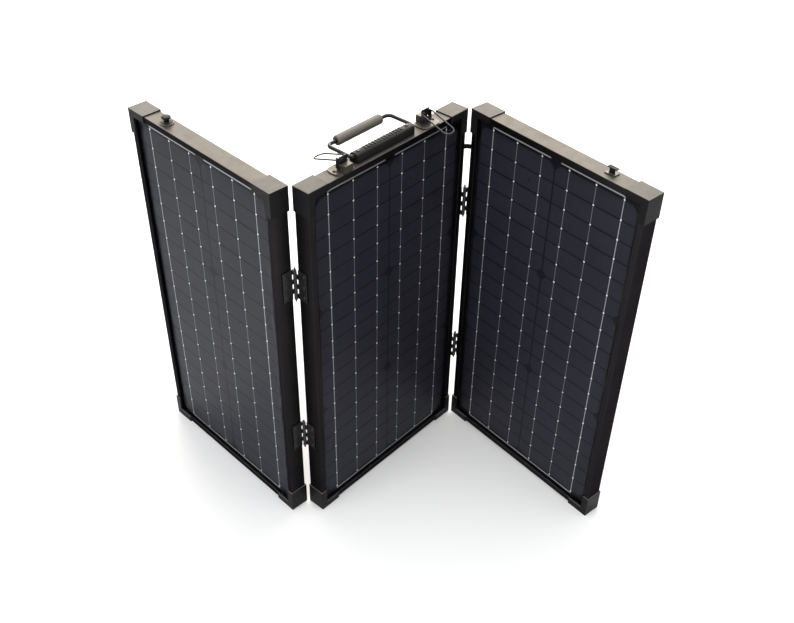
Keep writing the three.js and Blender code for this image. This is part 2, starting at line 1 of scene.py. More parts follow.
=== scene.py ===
"""A folding solar panel for camping, standing in a zig-zag on a pale studio floor."""
import json
import math

import bmesh
import bpy
from bpy.props import FloatProperty, IntProperty, PointerProperty, StringProperty
from mathutils import Matrix, Vector


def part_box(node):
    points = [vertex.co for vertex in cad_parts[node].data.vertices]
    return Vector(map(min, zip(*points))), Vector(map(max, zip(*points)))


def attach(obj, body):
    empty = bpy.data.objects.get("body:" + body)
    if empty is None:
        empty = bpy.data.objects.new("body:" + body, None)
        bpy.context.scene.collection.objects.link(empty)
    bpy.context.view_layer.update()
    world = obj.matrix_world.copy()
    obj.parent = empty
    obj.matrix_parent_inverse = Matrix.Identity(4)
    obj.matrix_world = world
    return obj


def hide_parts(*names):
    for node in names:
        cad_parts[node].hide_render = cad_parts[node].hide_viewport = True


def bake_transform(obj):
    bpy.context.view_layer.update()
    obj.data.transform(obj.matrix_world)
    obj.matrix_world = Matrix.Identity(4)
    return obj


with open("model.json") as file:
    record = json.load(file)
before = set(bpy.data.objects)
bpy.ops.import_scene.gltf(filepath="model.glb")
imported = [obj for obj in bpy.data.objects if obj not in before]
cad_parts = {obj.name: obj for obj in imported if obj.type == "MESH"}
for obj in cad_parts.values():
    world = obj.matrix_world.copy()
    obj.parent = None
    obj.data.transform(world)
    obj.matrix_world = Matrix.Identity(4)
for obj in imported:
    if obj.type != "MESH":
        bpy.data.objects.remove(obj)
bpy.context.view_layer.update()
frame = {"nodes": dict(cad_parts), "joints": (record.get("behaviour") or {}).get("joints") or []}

bl_info = {
    "name": "Folding Solar Panel",
    "version": (1, 0, 0),
    "blender": (4, 5, 0),
    "location": "View3D > Sidebar > Solar Panel",
    "description": "Builds the detailed surfaces of a three-part folding solar panel",
    "category": "Object",
}

MM = 0.001
HAIR = 0.001 * MM
JOINTS = {joint["name"]: joint for joint in frame["joints"]}
PANELS = ("left", "middle", "right")

# How far each outer panel is turned from lying flat beside the middle one
LEFT_TURN = math.radians(-93.5)
RIGHT_TURN = math.radians(-97.5)


# ---- places

def on_floor(point):
    return Vector((point[0], point[1], 0))


PANEL_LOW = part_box("middle_cap_bottom_left")[0]
PANEL_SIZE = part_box("middle_cap_top_right")[1] - PANEL_LOW
LEFT_PIVOT = on_floor(JOINTS["left_fold"]["pos_m"])
RIGHT_PIVOT = on_floor(JOINTS["right_fold"]["pos_m"])


def panel_place(panel):
    """The matrix from a panel's own frame, its low front corner at the origin, to the row frame."""
    place = Matrix.Translation(PANEL_LOW)
    if panel == "middle":
        return place
    pivot = LEFT_PIVOT if panel == "left" else RIGHT_PIVOT
    turn = LEFT_TURN if panel == "left" else RIGHT_TURN
    gap = 2 * (PANEL_LOW.x - LEFT_PIVOT.x)
    step = (PANEL_SIZE.x + gap) * (-1 if panel == "left" else 1)
    turned = Matrix.Translation(pivot) @ Matrix.Rotation(turn, 4, "Z") @ Matrix.Translation(-pivot)
    return turned @ place @ Matrix.Translation((step, 0, 0))


PLACES = {panel: panel_place(panel) for panel in PANELS}


def own_box(node):
    """A middle panel node's lowest and highest corners in the panel's own frame."""
    low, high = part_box(node)
    return low - PANEL_LOW, high - PANEL_LOW


def panel_body(panel):
    return f"{panel}_panel"


# ---- settings

class CellSizes(bpy.types.PropertyGroup):
    """The silicon cells and the ribbons that join them."""

    strip_width: FloatProperty(
        name="Strip width", description="Width of one strip", default=156 * MM, unit="LENGTH")
    strip_height: FloatProperty(
        name="Strip height", description="Height of one strip", default=31.5 * MM, unit="LENGTH")
    strips: IntProperty(name="Strips", description="Strips in one column", default=18, min=3)
    wafer_strips: IntProperty(
        name="Strips to a wafer", description="Strips cut from one wafer", default=6, min=1)
    corner_cut: FloatProperty(
        name="Corner cut", description="Cut corner of a wafer", default=9 * MM, unit="LENGTH")
    column_gap: FloatProperty(
        name="Column gap", description="Gap between the two columns", default=3 * MM, unit="LENGTH")
    margin: FloatProperty(
        name="Margin", description="From the panel's foot to the first strip", default=23.1 * MM,
        unit="LENGTH")
    ribbon_width: FloatProperty(
        name="Ribbon width", description="Width of one ribbon", default=1.1 * MM, unit="LENGTH")
    ribbon_pitch: FloatProperty(
        name="Ribbon pitch", description="Spacing of the ribbons on a strip", default=52 * MM,
        unit="LENGTH")
    bus_width: FloatProperty(
        name="Bus width", description="Width of the cross ribbons", default=2.2 * MM,
        unit="LENGTH")
    solder_radius: FloatProperty(
        name="Solder radius", description="Radius of a solder dot", default=1.6 * MM, unit="LENGTH")


class EdgeSizes(bpy.types.PropertyGroup):
    """How round the edges of the frame's pieces are."""

    rail_round: FloatProperty(
        name="Rail edge", description="Rounding of a rail's outer edges", default=0.8 * MM,
        unit="LENGTH")
    rail_break: FloatProperty(
        name="Rail edge break", description="Rounding of a rail's other edges", default=0.25 * MM,
        unit="LENGTH")
    cap_round: FloatProperty(
        name="Cap edge", description="Rounding of a cap's outer edges", default=1.3 * MM,
        unit="LENGTH")
    cap_break: FloatProperty(
        name="Cap edge break", description="Rounding of a cap's other edges", default=0.35 * MM,
        unit="LENGTH")
    box_round: FloatProperty(
        name="Junction box edge", description="Rounding of a junction box", default=1.0 * MM,
        unit="LENGTH")
    leaf_break: FloatProperty(
        name="Leaf edge break", description="Rounding of a hinge leaf", default=0.25 * MM,
        unit="LENGTH")


class HardwareSizes(bpy.types.PropertyGroup):
    """The handle, the latches and the small fixings."""

    bail_radius: FloatProperty(
        name="Bail radius", description="Radius of the handle's rod", default=3 * MM, unit="LENGTH")
    grip_edge: FloatProperty(
        name="Grip edge", description="Rounding of its ends", default=2.4 * MM, unit="LENGTH")
    wire_radius: FloatProperty(
        name="Loop wire radius", description="Radius of a latch loop's wire", default=1.2 * MM,
        unit="LENGTH")
    rivet_radius: FloatProperty(
        name="Rivet radius", description="Radius of its head", default=2.2 * MM, unit="LENGTH")
    core_radius: FloatProperty(
        name="Cable core radius", description="Radius of each core of the link cable",
        default=2.1 * MM, unit="LENGTH")


class FinishColours(bpy.types.PropertyGroup):
    """The main colours, as sRGB hex values."""

    anodised: StringProperty(name="Frame", description="Black anodised aluminium", default="2e2c2d")
    # Painted top light: a pale tone mixed into faces that look up, standing in for the light from
    # above
    top_light_paint: StringProperty(name="Dust", description="Fine dust on upward faces", default="a09a8f")
    cap: StringProperty(name="Corner caps", description="Moulded ABS", default="131315")
    cell: StringProperty(name="Cells", description="Coated silicon", default="1c1b23")
    ribbon: StringProperty(name="Ribbons", description="Tinned copper", default="54545a")
    coated: StringProperty(name="Coated steel", description="Black coated steel", default="101012")
    plate: StringProperty(name="Latch plates", description="Plated steel", default="6e6961")
    grip: StringProperty(name="Grip", description="Rubber", default="4e4a46")


SETTINGS = {
    "solar_cells": CellSizes,
    "solar_edges": EdgeSizes,
    "solar_hardware": HardwareSizes,
    "solar_colours": FinishColours,
}


# ---- materials

def linear(hex_value):
    """An sRGB hex value as linear red, green, blue and an alpha of 1."""
    channels = [int(hex_value[i:i + 2], 16) / 255 for i in (0, 2, 4)]
    turned = [c / 12.92 if c <= 0.04045 else ((c + 0.055) / 1.055) ** 2.4 for c in channels]
    return (*turned, 1.0)


def add(tree, kind, inputs=None, **settings):
    """Adds a node with its settings; an input is a value or the socket that feeds it."""
    made = tree.nodes.new(kind)
    for name, value in settings.items():
        setattr(made, name, value)
    for key, value in (inputs or {}).items():
        if isinstance(value, bpy.types.NodeSocket):
            tree.links.new(value, made.inputs[key])
        else:
            made.inputs[key].default_value = value
    return made


def started(name):
    """A material with its tree, its Principled shader and the socket of Object coordinates."""
    material = bpy.data.materials.new(name)
    material.use_nodes = True
    tree = material.node_tree
    shader = tree.nodes["Principled BSDF"]
    place = add(tree, "ShaderNodeTexCoord").outputs["Object"]
    return material, tree, shader, place


def per_mm(size):
    """A noise scale whose features are about size millimetres across."""
    return 1 / (size * MM)


def mottled(tree, place, size, dark, light, detail=3.0):
    """A colour that wanders between two shades over size millimetres, and the cloud it follows."""
    noise = {"Vector": place, "Scale": per_mm(size), "Detail": detail}
    cloud = add(tree, "ShaderNodeTexNoise", noise).outputs["Fac"]
    shades = {"Factor": cloud, "A": linear(dark), "B": linear(light)}
    mixed = add(tree, "ShaderNodeMix", shades, data_type="RGBA")
    return mixed.outputs["Result"], cloud


def surfaced(tree, shader, tone, cloud, smoothest, roughest):
    """Feeds the shader's colour, and a roughness that wanders with the same clouds."""
    tree.links.new(tone, shader.inputs["Base Color"])
    spread = {"Value": cloud, "To Min": smoothest, "To Max": roughest}
    roughness = add(tree, "ShaderNodeMapRange", spread).outputs[0]
    tree.links.new(roughness, shader.inputs["Roughness"])


def painted_top_light(tree, place, tone, top_light_paint, most):
    """A colour with painted light from above on the faces that look up, laid in cloudy patches, and
    the painted light's share of it.
    """
    normal = add(tree, "ShaderNodeNewGeometry").outputs["Normal"]
    upward = add(tree, "ShaderNodeSeparateXYZ", {"Vector": normal}).outputs["Z"]
    lying = add(tree, "ShaderNodeMapRange", {
        "Value": upward, "From Min": 0.55, "From Max": 0.95, "To Min": 0.0, "To Max": most,
    }).outputs[0]
    patches = add(tree, "ShaderNodeTexNoise", {"Vector": place, "Scale": per_mm(18), "Detail": 6.0})
    spread = {"Value": patches.outputs["Fac"], "To Min": 0.6, "To Max": 1.2}
    patchy = add(tree, "ShaderNodeMapRange", spread).outputs[0]
    top_light_share = add(tree, "ShaderNodeMath", {0: lying, 1: patchy}, operation="MULTIPLY").outputs[0]
    # Painted top light: faces that look up are mixed towards the pale tone
    shades = {"Factor": top_light_share, "A": tone, "B": linear(top_light_paint)}
    mixed = add(tree, "ShaderNodeMix", shades, data_type="RGBA")
    return mixed.outputs["Result"], top_light_share


def pressed_in(tree, shader, height, depth_mm, strength=1.0):
    """Bumps the surface by a height of depth_mm millimetres."""
    inputs = {"Height": height, "Distance": depth_mm * MM, "Strength": strength}
    bump = add(tree, "ShaderNodeBump", inputs)
    tree.links.new(bump.outputs["Normal"], shader.inputs["Normal"])


def grained(tree, shader, place, size, detail, depth):
    """Presses in a fine grain, size millimetres across and depth millimetres deep."""
    noise = {"Vector": place, "Scale": per_mm(size), "Detail": detail}
    pressed_in(tree, shader, add(tree, "ShaderNodeTexNoise", noise).outputs["Fac"], depth)


def anodised_aluminium(colour, top_light_paint):
    """Extruded and black anodised: a dark satin metal with faint lines drawn along its length."""
    material, tree, shader, place = started("anodised_aluminium_extruded")
    along = add(tree, "ShaderNodeUVMap", uv_map="grain").outputs["UV"]
    # Lines about 160 mm long and 0.9 mm apart
    stretch = (per_mm(160), per_mm(0.9), 1)
    drawn = add(tree, "ShaderNodeMapping", {"Vector": along, "Scale": stretch}).outputs[0]
    noise = {"Vector": drawn, "Scale": 1.0, "Detail": 4.0}
    lines = add(tree, "ShaderNodeTexNoise", noise).outputs["Fac"]
    faint = add(tree, "ShaderNodeMapRange", {"Value": lines, "To Min": 0.0, "To Max": 0.6})
    tone, cloud = mottled(tree, place, 45, colour, "383637")
    shades = {"Factor": faint.outputs[0], "A": tone, "B": linear("19181b")}
    streaked = add(tree, "ShaderNodeMix", shades, data_type="RGBA").outputs["Result"]
    # Painted top light: upward faces are mixed towards a pale tone and made less metallic, standing
    # in for the light from above
    top_lit_tone, top_light_share = painted_top_light(tree, place, streaked, top_light_paint, 0.3)
    surfaced(tree, shader, top_lit_tone, cloud, 0.36, 0.46)
    metallic_off_top_light = add(tree, "ShaderNodeMath", {0: 1.0, 1: top_light_share}, operation="SUBTRACT").outputs[0]
    tree.links.new(metallic_off_top_light, shader.inputs["Metallic"])
    shader.inputs["Specular Tint"].default_value = linear("a6a6a8")
    pressed_in(tree, shader, lines, 0.01)
    return material


def moulded(name, colour, light, roughness, top_light_paint, most, grain=0.7):
    """Black plastic, moulded or extruded: a fine grain breaks up its shine a little."""
    material, tree, shader, place = started(name)
    tone, cloud = mottled(tree, place, 30, colour, light)
    # Painted top light: upward faces are mixed towards a pale tone, up to the given share, standing
    # in for the light from above
    top_lit_tone, _ = painted_top_light(tree, place, tone, top_light_paint, most)
    surfaced(tree, shader, top_lit_tone, cloud, roughness - 0.05, roughness + 0.08)
    shader.inputs["Specular IOR Level"].default_value = 0.09
    grained(tree, shader, place, grain, 2.0, 0.03)
    return material


def solar_glass():
    """Tempered low-iron glass with a coating against glare: clear, with hardly a shine of its own.

    The soft shine that the coating leaves is drawn on the layers pressed to its back.
    """
    material, tree, shader, place = started("tempered_glass_coated")
    shader.inputs["IOR"].default_value = 1.0
    shader.inputs["Transmission Weight"].default_value = 1.0
    shader.inputs["Roughness"].default_value = 0.0
    tone, _ = mottled(tree, place, 160, "f2f5f5", "fafbfb")
    tree.links.new(tone, shader.inputs["Base Color"])
    return material


def silicon(colour):
    """Coated silicon wafer: nearly black with a blue cast, finely lined by its printed fingers."""
    material, tree, shader, place = started("silicon_wafer_coated")
    height = add(tree, "ShaderNodeSeparateXYZ", {"Vector": place}).outputs["Z"]
    # The fingers are 1.6 mm apart and 0.1 mm wide, and are drawn 2.1 mm apart and faint to show
    turn = 2 * math.pi * per_mm(2.1)
    turns = add(tree, "ShaderNodeMath", {0: height, 1: turn}, operation="MULTIPLY").outputs[0]
    wave = add(tree, "ShaderNodeMath", {0: turns}, operation="SINE").outputs[0]
    faint = add(tree, "ShaderNodeMapRange", {"Value": wave, "To Min": 0.0, "To Max": 0.03})
    tone, cloud = mottled(tree, place, 70, colour, "222129")
    shades = {"Factor": faint.outputs[0], "A": tone, "B": linear("6c6e78")}
    lined = add(tree, "ShaderNodeMix", shades, data_type="RGBA").outputs["Result"]
    surfaced(tree, shader, lined, cloud, 0.34, 0.44)
    shader.inputs["Specular IOR Level"].default_value = 0.1
    return material


def tinned_copper(name, colour, light, roughness):
    """Copper ribbon dipped in solder: a soft, slightly uneven metal shine."""
    material, tree, shader, place = started(name)
    tone, cloud = mottled(tree, place, 3, colour, light)
    surfaced(tree, shader, tone, cloud, roughness - 0.08, roughness + 0.1)
    shader.inputs["Metallic"].default_value = 0.3
    pressed_in(tree, shader, cloud, 0.05)
    return material


def black_backsheet():
    """Laminated polyester film, black: matte, with a faint weave from the press."""
    material, tree, shader, place = started("polyester_backsheet_laminated")
    tone, cloud = mottled(tree, place, 50, "0a0a0d", "101013")
    surfaced(tree, shader, tone, cloud, 0.36, 0.46)
    shader.inputs["Specular IOR Level"].default_value = 0.1
    press = add(tree, "ShaderNodeTexVoronoi", {"Vector": place, "Scale": per_mm(1.2)})
    pressed_in(tree, shader, press.outputs["Distance"], 0.02, 0.5)
    return material


def coated_steel(colour):
    """Pressed steel under a thin black coat: glossy high spots and a slight orange peel."""
    material, tree, shader, place = started("steel_black_coated")
    tone, cloud = mottled(tree, place, 14, colour, "1e1d1d")
    surfaced(tree, shader, tone, cloud, 0.26, 0.42)
    shader.inputs["Specular IOR Level"].default_value = 0.3
    shader.inputs["Coat Weight"].default_value = 0.12
    shader.inputs["Coat Roughness"].default_value = 0.2
    grained(tree, shader, place, 1.4, 2.0, 0.02)
    return material


def plated_steel(colour):
    """Zinc plated steel gone dull: a warm grey metal with cloudy patches."""
    material, tree, shader, place = started("steel_zinc_plated")
    tone, cloud = mottled(tree, place, 6, colour, "46423c", 5.0)
    surfaced(tree, shader, tone, cloud, 0.3, 0.5)
    shader.inputs["Metallic"].default_value = 0.85
    return material


def drawn_wire():
    """Stainless wire, drawn: bright grey with fine scratches."""
    material, tree, shader, place = started("stainless_wire_drawn")
    tone, cloud = mottled(tree, place, 2, "2f2e30", "4a494d", 5.0)
    surfaced(tree, shader, tone, cloud, 0.2, 0.38)
    shader.inputs["Metallic"].default_value = 1.0
    return material


def foam_rubber(colour):
    """Moulded rubber sleeve, handled for years: dull, with a fine pebble and rubbed patches."""
    material, tree, shader, place = started("rubber_moulded_worn")
    tone, cloud = mottled(tree, place, 22, colour, "6b645b", 6.0)
    surfaced(tree, shader, tone, cloud, 0.5, 0.72)
    grained(tree, shader, place, 0.8, 3.0, 0.08)
    return material


def painted_floor():
    """A matte painted studio floor, pale and even."""
    material, tree, shader, place = started("studio_paint_rolled")
    tone, _ = mottled(tree, place, 900, "ececeb", "f0f0ef", 2.0)
    tree.links.new(tone, shader.inputs["Base Color"])
    shader.inputs["Roughness"].default_value = 0.9
    shader.inputs["Specular IOR Level"].default_value = 0.1
    return material


MATERIALS = {}


def make_materials(colours):
    MATERIALS.update({
        "anodised": anodised_aluminium(colours.anodised, colours.top_light_paint),
        # For each moulded finish, the number after the painted top-light tone is the largest share
        # of that painted light on its upward faces
        "cap": moulded("abs_moulded_grained", colours.cap, "19191b", 0.46, colours.top_light_paint, 0.38),
        "box": moulded("abs_moulded_plain", "151516", "1b1b1c", 0.42, colours.top_light_paint, 0.05),
        "base": moulded("nylon_moulded_worn", "141314", "242221", 0.4, colours.top_light_paint, 0.06, 1.1),
        "cable": moulded("pvc_jacket_extruded", "101012", "161618", 0.5, colours.top_light_paint, 0.03, 0.9),
        "seal": moulded("silicone_bead_cured", "0b0b0c", "101011", 0.6, colours.top_light_paint, 0.02),
        "glass": solar_glass(),
        "cell": silicon(colours.cell),
        "ribbon": tinned_copper("copper_ribbon_tinned", colours.ribbon, "6c6c72", 0.45),
        "bus": tinned_copper("copper_bus_tinned", "84848a", "a4a4a8", 0.4),
        "solder": tinned_copper("solder_dots_melted", "e6e6e8", "f4f4f6", 0.3),
        "backsheet": black_backsheet(),
        "coated": coated_steel(colours.coated),
        "plate": plated_steel(colours.plate),
        "wire": drawn_wire(),
        "grip": foam_rubber(colours.grip),
        "floor": painted_floor(),
    })


# ---- mesh work

def is_narrow(face, widest=1.2 * MM):
    """Whether a face is one of the strips of a rounded edge, which are the smooth ones."""
    return face.calc_area() < widest * max(edge.calc_length() for edge in face.edges)


def finished(name, bm, material, body=None, stands_for=(), place=None, boxy=False):
    """Makes a piece of a bmesh and lets it ride; a boxy one is smooth only on its rounded edges."""
    if place is not None:
        bm.transform(place)
    smooth = [is_narrow(face) or not boxy for face in bm.faces]
    mesh = bpy.data.meshes.new(name)
    bm.to_mesh(mesh)
    bm.free()
    # A copied CAD mesh still carries the normals of its loose triangles
    carried_normals = mesh.attributes.get("custom_normal")
    if carried_normals is not None:
        mesh.attributes.remove(carried_normals)
    mesh.set_sharp_from_angle(angle=math.radians(35))
    mesh.polygons.foreach_set("use_smooth", smooth)
    mesh.materials.append(MATERIALS[material])
    piece = bpy.data.objects.new(name, mesh)
    bpy.context.scene.collection.objects.link(piece)
    if body is not None:
        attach(piece, body)
    if stands_for:
        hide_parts(*stands_for)
    return piece


def on_panel(panel, name, bm, material, stands_for=(), boxy=False):
    """Makes a piece that was modelled in its panel's own frame, and lets it ride on the panel."""
    return finished(
        f"{panel}_{name}", bm, material, panel_body(panel), stands_for, PLACES[panel], boxy)


def repaint(node, material):
    """Gives a carried-over CAD node its finish."""
    mesh = frame["nodes"][node].data
    mesh.materials.clear()
    mesh.materials.append(MATERIALS[material])


def merged_copy(node, place=Matrix.Identity(4)):
    """A CAD node's faces merged into flat polygons, in the frame that its panel's place gives."""
    bm = bmesh.new()
    bm.from_mesh(frame["nodes"][node].data)
    bmesh.ops.remove_doubles(bm, verts=bm.verts, dist=0.005 * MM)
    bmesh.ops.dissolve_limit(bm, angle_limit=math.radians(0.5), verts=bm.verts, edges=bm.edges)
    bm.transform(place.inverted())
    return bm


def corner_edges(bm, chosen=lambda edge: True, least=28):
    """The chosen outward edges where two faces turn by more than the least degrees."""
    sharp = math.radians(least)
    return [
        e for e in bm.edges
        if e.is_manifold and e.is_convex and e.calc_face_angle(0) > sharp and chosen(e)
    ]


def round_off(bm, edges, width, segments=2):
    bmesh.ops.bevel(
        bm, geom=edges, offset=width, offset_type="OFFSET", segments=segments, profile=0.5,
        affect="EDGES", clamp_overlap=True, material=-1,
    )


def softened(node, width, place=Matrix.Identity(4), least=50, segments=2):
    """A CAD node's merged copy with its corner edges rounded off."""
    bm = merged_copy(node, place)
    round_off(bm, corner_edges(bm, least=least), width, segments)
    return bm


def middle_of(edge):
    return (edge.verts[0].co + edge.verts[1].co) / 2


def depth_of(edge):
    """How far an edge runs from a panel's front to its back."""
    return abs(edge.verts[0].co.y - edge.verts[1].co.y)


def sides_touched(point, low, high, reach=0.02 * MM):
    """On how many sides of a box a point lies."""
    return sum(
        abs(point[i] - low[i]) < reach or abs(point[i] - high[i]) < reach for i in range(3)
    )


def block(bm, low, high):
    """Adds a box between two corners and gives its vertices."""
    low, high = Vector(low), Vector(high)
    size = Matrix.Diagonal((high - low).to_4d())
    size[3][3] = 1
    place = Matrix.Translation((low + high) / 2) @ size
    return bmesh.ops.create_cube(bm, size=1, matrix=place)["verts"]


def lathe(bm, profile, unit, segments, place):
    """Spins a profile of (radius, height), in a unit, about its axis and puts it in place."""
    before = set(bm.verts)
    verts = [bm.verts.new((radius * unit, 0, height * unit)) for radius, height in profile]
    edges = [bm.edges.new(pair) for pair in zip(verts, verts[1:])]
    bmesh.ops.spin(
        bm, geom=verts + edges, cent=(0, 0, 0), axis=(0, 0, 1), dvec=(0, 0, 0),
        angle=2 * math.pi, steps=segments, use_merge=True, use_duplicate=False,
    )
    made = [v for v in bm.verts if v not in before]
    bmesh.ops.transform(bm, matrix=place, verts=made)
    bmesh.ops.remove_doubles(bm, verts=made, dist=0.002 * MM)
    turned = [f for f in bm.faces if f.verts[0] not in before]
    bmesh.ops.recalc_face_normals(bm, faces=turned)


def facing(normal):
    """The turn that takes +Z to a direction."""
    return Vector(normal).to_track_quat("Z", "Y").to_matrix().to_4x4()


def bent_rod(corners, bends, radius, sides, steps):
    """A round rod through corners, each inner one bent with the tangent length that bends gives."""
    bm = bmesh.new()
    ahead = (corners[1] - corners[0]).normalized()
    place = Matrix.Translation(corners[0]) @ facing(ahead)
    ring = bmesh.ops.create_circle(bm, cap_ends=False, radius=radius, segments=sides, matrix=place)
    verts = ring["verts"]
    edges = list(bm.edges)
    at = corners[0]
    for i in range(1, len(corners)):
        last = i == len(corners) - 1
        tangent = 0 if last else bends[i - 1]
        stop = corners[i] - ahead * tangent
        grown = bmesh.ops.extrude_edge_only(bm, edges=edges)["geom"]
        verts = [g for g in grown if isinstance(g, bmesh.types.BMVert)]
        edges = ring_edges(verts)
        bmesh.ops.translate(bm, vec=stop - at, verts=verts)
        if last:
            break
        onward = (corners[i + 1] - corners[i]).normalized()
        angle = ahead.angle(onward)
        reach = tangent / math.tan(angle / 2)
        inward = (onward - ahead * ahead.dot(onward)).normalized()
        axis = ahead.cross(onward).normalized()
        spun = bmesh.ops.spin(
            bm, geom=verts + edges, cent=stop + inward * reach, axis=axis, dvec=(0, 0, 0),
            angle=angle, steps=steps, use_merge=False, use_duplicate=False,
        )["geom_last"]
        verts = [g for g in spun if isinstance(g, bmesh.types.BMVert)]
        edges = ring_edges(verts)
        at = corners[i] + onward * tangent
        ahead = onward
    bmesh.ops.holes_fill(bm, edges=bm.edges, sides=0)
    bmesh.ops.recalc_face_normals(bm, faces=bm.faces)
    return bm


def ring_edges(verts):
    """The edges between vertices of one ring."""
    ring = set(verts)
    return list({e for v in verts for e in v.link_edges if all(end in ring for end in e.verts)})


# Profiles are points of (radius, height): of the heads in head radii, of the others in millimetres
RIVET = ((0, 0.35), (0.3, 0.35), (0.36, 0.62), (0.6, 0.58), (0.86, 0.36), (1.0, 0.1), (1.0, -0.4))
SCREW = ((0, 0.6), (0.8, 0.6), (0.97, 0.45), (1.0, 0.2), (1.0, -0.3))
GLAND = ((0, 0), (6, 0), (6, 5), (4.6, 5.4), (4.0, 8), (3.1, 12), (0, 12))
GROMMET = ((0, -1.6), (4.4, -1.6), (5.0, -0.8), (5.0, 0), (0, 0))
KNOB = (
    (0, 12.0), (5.6, 12.0), (6.6, 11.7), (7.3, 11.0), (7.4, 10.4), (7.4, 9.4), (7.0, 8.8),
    (5.4, 8.2), (4.6, 7.6), (4.2, 6.6), (4.2, 2.9), (4.8, 2.3), (10.2, 1.5), (11.2, 1.2),
    (11.5, 0.7), (11.5, 0.0), (0, 0.0),
)


def heads(profile, radius, places):
    """The heads of rivets or screws, each with its foot at a place."""
    bm = bmesh.new()
    for place in places:
        lathe(bm, profile, radius, 16, place)
    return bm


def near_ends(low, high, inset, y, z):
    """Two upright places on a long piece, each inset from an end of its box."""
    return [Matrix.Translation((x, y, z)) for x in (low.x + inset, high.x - inset)]


def grain_map(bm, along, across):
    """A UV map in metres: u along the piece's length and v round its section."""
    layer = bm.loops.layers.uv.new("grain")
    for face in bm.faces:
        for loop in face.loops:
            co = loop.vert.co
            loop[layer].uv = (co[along], co[across] + co.y)


# ---- the stage

CAMERA_AT = Vector((-0.9908, -0.9010, 1.4020))
CAMERA_YAW = math.radians(47.82)
CAMERA_DOWN = math.radians(39.6)
CAMERA_ROLL = math.radians(0.6)
CAMERA_LENS = 45.88
CAMERA_SHIFT = (0.0151, 0.0283)

# Each softbox: where it is, what it faces, its width and height in metres, its watts and colour
SOFTBOXES = {
    "softbox_behind": ((1.75, 1.5, 1.95), (0, 0, 0.65), (3.4, 2.2), 122, "fff8ef"),
    "softbox_above": ((-0.3, -0.2, 3.0), (0, 0, 0), (2.8, 2.8), 74, "ffffff"),
    "softbox_left": ((-2.6, 0.4, 1.5), (0, 0, 0.4), (1.6, 1.6), 16, "fbfcff"),
}


def camera_matrix():
    ahead = Vector((
        math.sin(CAMERA_YAW) * math.cos(CAMERA_DOWN),
        math.cos(CAMERA_YAW) * math.cos(CAMERA_DOWN),
        -math.sin(CAMERA_DOWN),
    ))
    level = Vector((math.cos(CAMERA_YAW), -math.sin(CAMERA_YAW), 0))
    above = level.cross(ahead)
    right = level * math.cos(CAMERA_ROLL) + above * math.sin(CAMERA_ROLL)
    up = right.cross(ahead)
    turn = Matrix((right, up, -ahead)).transposed().to_4x4()
    return Matrix.Translation(CAMERA_AT) @ turn


class BuildStage(bpy.types.Operator):
    """Makes the camera, the lights, the world and the pale floor"""

    bl_idname = "solar.build_stage"
    bl_label = "Stage"

    def execute(self, context):
        scene = context.scene
        data = bpy.data.cameras.new("camera")
        data.lens = CAMERA_LENS
        data.shift_x, data.shift_y = CAMERA_SHIFT
        camera = bpy.data.objects.new("camera", data)
        camera.matrix_world = camera_matrix()
        scene.collection.objects.link(camera)
        scene.camera = camera
        scene.view_settings.view_transform = "Standard"
        self.world(scene)
        for name, setting in SOFTBOXES.items():
            self.softbox(name, *setting)
        self.floor()
        return {"FINISHED"}

    def world(self, scene):
        world = bpy.data.worlds.new("studio_air")
        world.use_nodes = True
        scene.world = world
        background = world.node_tree.nodes["Background"]
        background.inputs["Color"].default_value = linear("f6f7fa")
        background.inputs["Strength"].default_value = 0.72

    def softbox(self, name, at, towards, size, power, colour):
        data = bpy.data.lights.new(name, "AREA")
        data.shape = "RECTANGLE"
        data.size, data.size_y = size
        data.energy = power
        data.color = linear(colour)[:3]
        lamp = bpy.data.objects.new(name, data)
        lamp.matrix_world = Matrix.Translation(at) @ facing(Vector(at) - Vector(towards))
        bpy.context.scene.collection.objects.link(lamp)

    def floor(self):
        bm = bmesh.new()
        bmesh.ops.create_circle(bm, cap_ends=True, radius=14, segments=96)
        finished("studio_floor", bm, "floor")


# ---- the link cable

CABLE_DEPTH = 13 * MM
CABLE_REACH = 11 * MM
STRAIGHT_STEPS = 12
BEND_STEPS = 16

# The twin cable's section, in core radii: from its middle to a core's centre
CORE_OFFSET = 1.024


def cable_route():
    """Out of one junction box, through both stiles round the joint, and into the other box."""
    box_low, box_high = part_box("middle_junction_box")
    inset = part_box("middle_right_stile")[1].x
    height = (box_low.z + box_high.z) / 2
    depth = PANEL_LOW.y + CABLE_DEPTH
    turn = Matrix.Rotation(RIGHT_TURN, 3, "Z")

    def here(x):
        return Vector((x, depth, height))

    def there(x):
        flat = Vector((2 * RIGHT_PIVOT.x - x, depth, height))
        return turn @ (flat - RIGHT_PIVOT) + RIGHT_PIVOT

    start = box_high.x + 0.3 * MM
    bend = (here(inset), here(inset + CABLE_REACH), there(inset + CABLE_REACH), there(inset))
    step = (inset - start) / STRAIGHT_STEPS
    points = [here(start + step * i) for i in range(STRAIGHT_STEPS)]
    points += [bezier(bend, i / BEND_STEPS) for i in range(BEND_STEPS + 1)]
    points += [there(inset - step * i) for i in range(1, STRAIGHT_STEPS + 1)]
    return points


def twin_section(radius):
    """The outline of a twin cable: two round cores, one above the other, joined at a waist."""
    waist = math.radians(150)
    outline = []
    for side in (1, -1):
        for i in range(15):
            angle = waist * (i / 7 - 1)
            across, up = math.sin(angle), CORE_OFFSET + math.cos(angle)
            outline.append((side * radius * across, side * radius * up, 0))
    return outline


def line_through(name, points, closed=False):
    """A plain curve object through points."""
    curve = bpy.data.curves.new(name, "CURVE")
    curve.dimensions = "3D"
    spline = curve.splines.new("POLY")
    spline.points.add(len(points) - 1)
    for place, point in zip(spline.points, points):
        place.co = (*point, 1)
    spline.use_cyclic_u = closed
    line = bpy.data.objects.new(name, curve)
    bpy.context.scene.collection.objects.link(line)
    return line


def bezier(ends, t):
    weights = ((1 - t) ** 3, 3 * t * (1 - t) ** 2, 3 * t * t * (1 - t), t ** 3)
    return sum((p * w for p, w in zip(ends, weights)), Vector())


